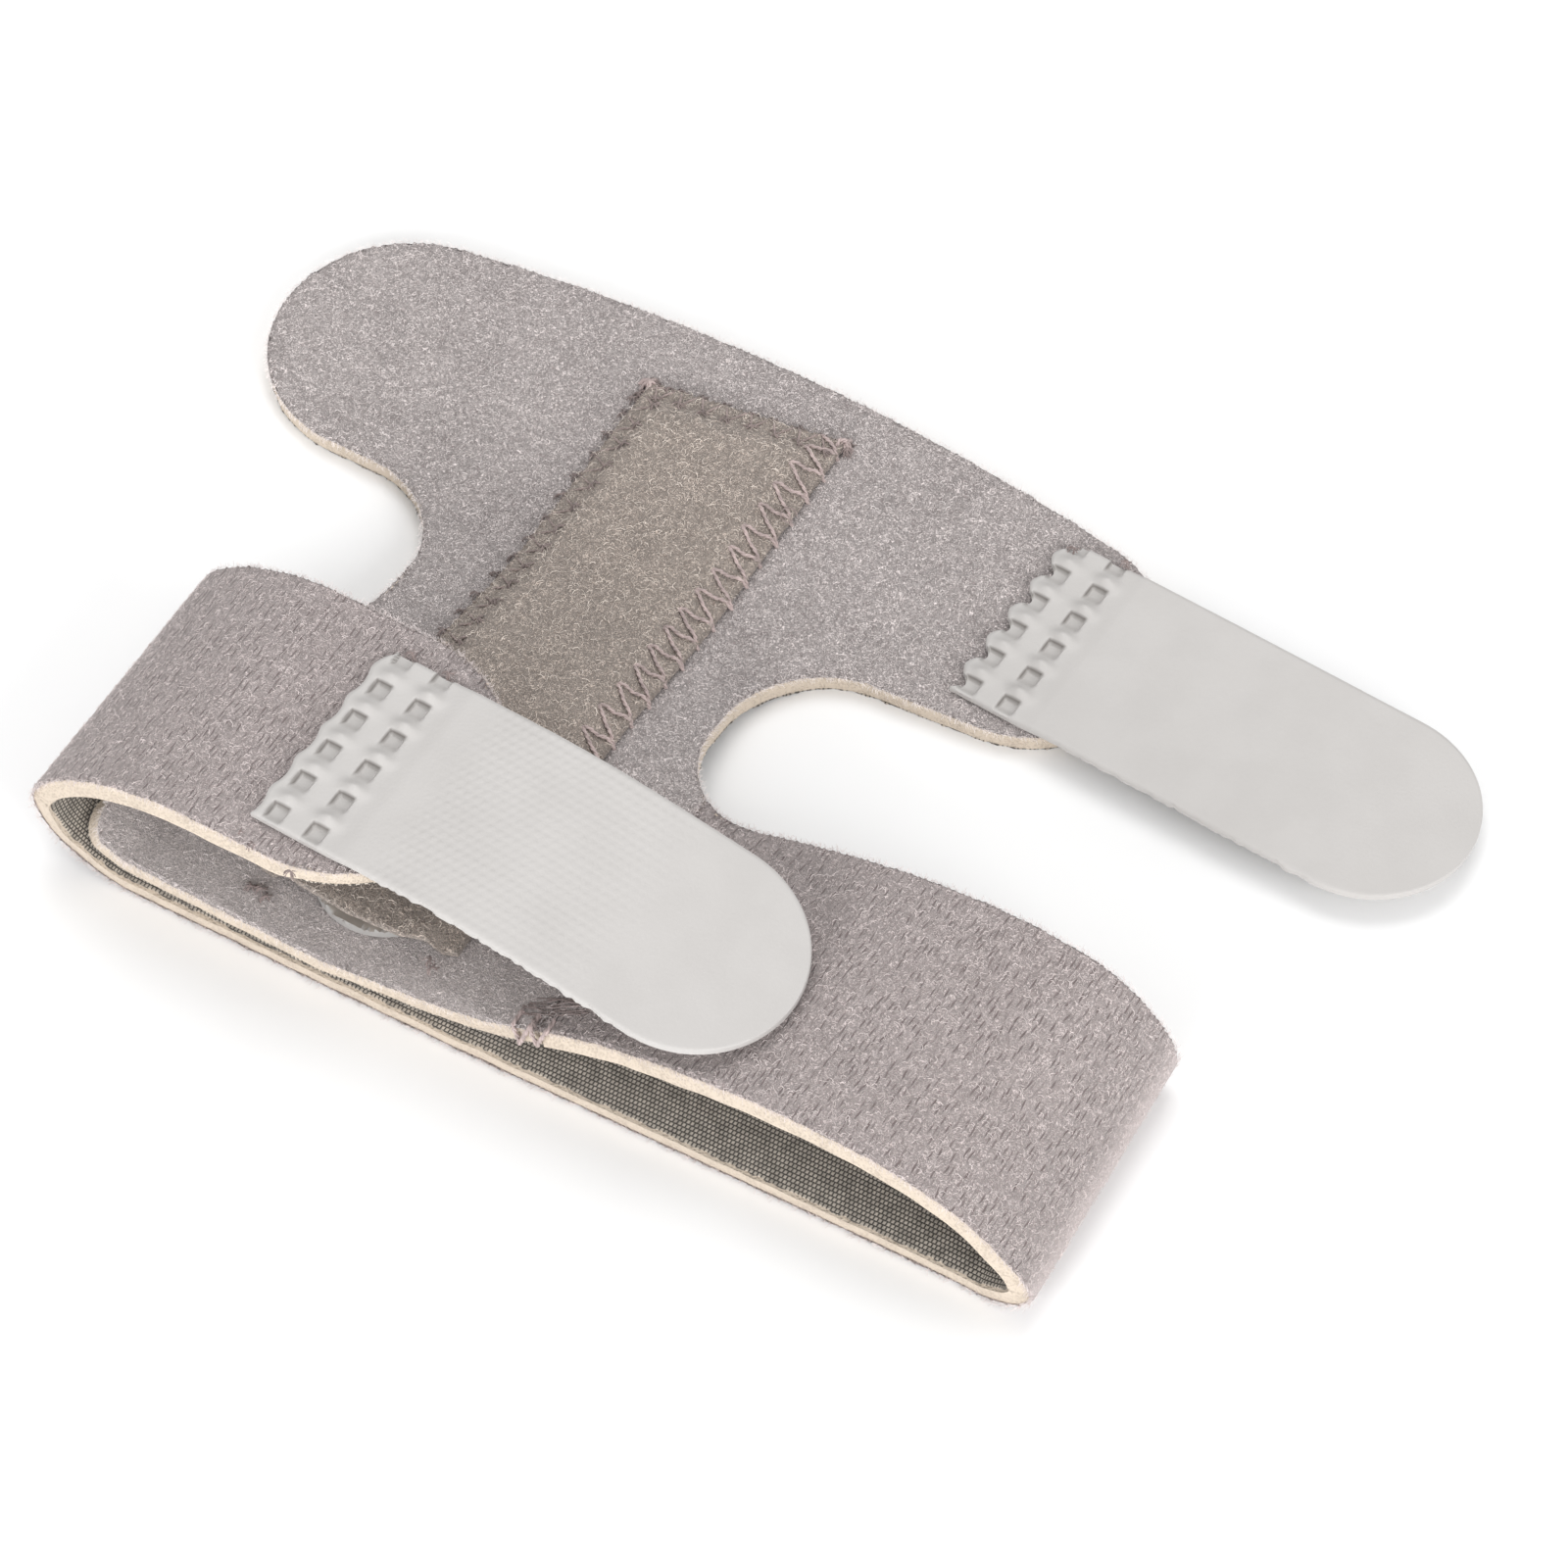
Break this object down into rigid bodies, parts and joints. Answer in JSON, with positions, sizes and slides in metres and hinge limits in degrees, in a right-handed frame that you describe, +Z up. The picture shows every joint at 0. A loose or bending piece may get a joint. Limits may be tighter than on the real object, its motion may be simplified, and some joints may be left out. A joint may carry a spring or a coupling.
{
  "type": "bunion corrector",
  "caption": "Big-toe splint wrap with a foot strap, lying folded: nap cloth over foam, a pocket with a plastic stay, and white hook tabs that fasten both ends.",
  "frame": {"origin": "on the table, under the middle of the strap's bottom layer, at the rest mount", "axes": "+Z up from the table, +X along the foot strap towards its right fold, +Y towards the toe arms"},
  "size_m": [0.1574, 0.0993, 0.0232],
  "materials": {
    "wrap_cloth": "brushed taupe nap over cream foam, with a dark knit lining",
    "strap_cloth": "ribbed taupe nap over cream foam, with a dark knit lining",
    "pocket_cloth": "thin brushed cloth, beige brown",
    "stay_plastic": "clear grey plastic strip",
    "tab_plastic": "off-white hook tape, satin back"
  },
  "bodies": {
    "root": {"toe_wrap": "wrap_cloth", "foot_strap": "strap_cloth", "splint_pocket": "pocket_cloth", "splint_stay": "stay_plastic", "toe_tab": "tab_plastic", "foot_tab": "tab_plastic"}
  },
  "joints": []
}
